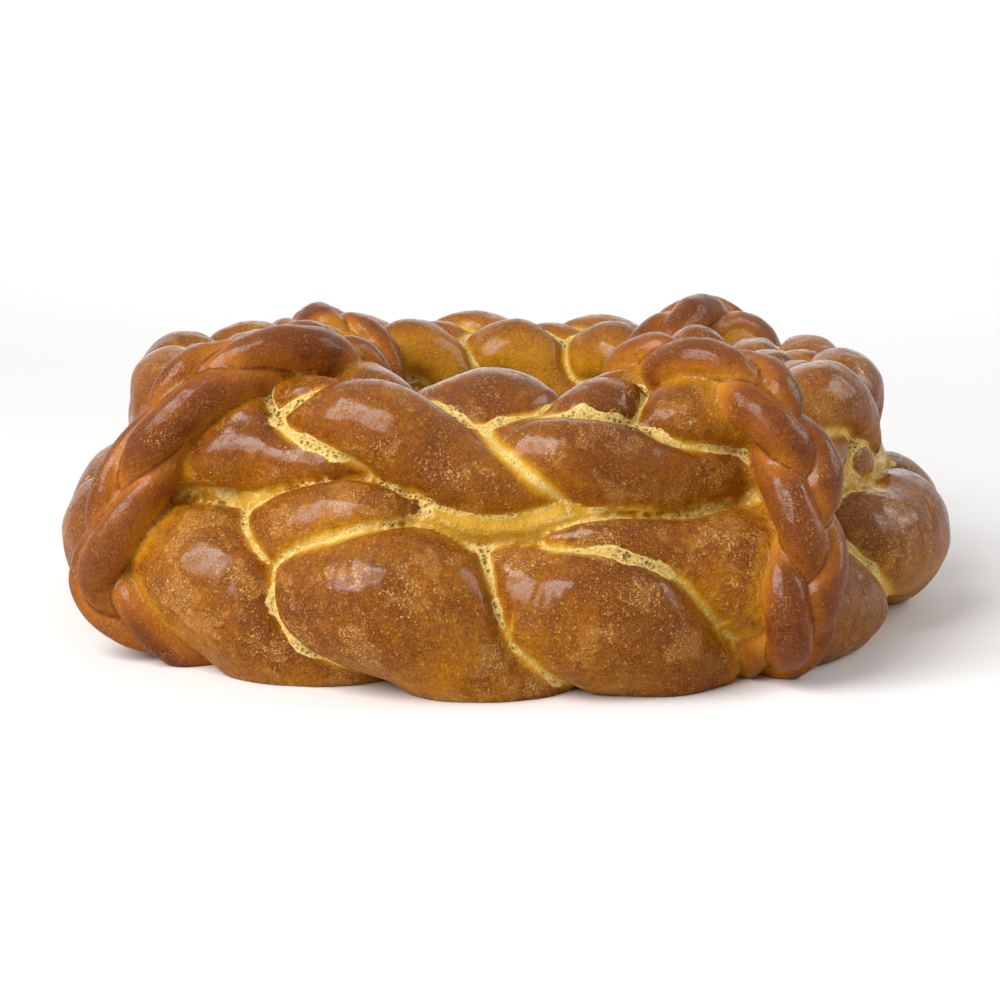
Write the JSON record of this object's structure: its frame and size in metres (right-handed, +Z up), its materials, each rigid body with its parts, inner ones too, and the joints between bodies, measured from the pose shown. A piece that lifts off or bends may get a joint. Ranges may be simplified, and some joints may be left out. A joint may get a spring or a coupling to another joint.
{
  "type": "braided ring loaf",
  "caption": "Braided bread ring: a wide plaited ring under a narrower one, bound by thin plaits laid across both, with an open middle.",
  "frame": {"origin": "middle of the ring, at the level base the loaf rests on", "axes": "+Z up along the axis of the ring; -Y is the front, between the two front straps"},
  "size_m": [0.3509, 0.3506, 0.1166],
  "materials": {
    "crust": "golden brown baked crust with an egg-wash sheen"
  },
  "bodies": {
    "root": {"braided_loaf": "crust"}
  },
  "joints": []
}
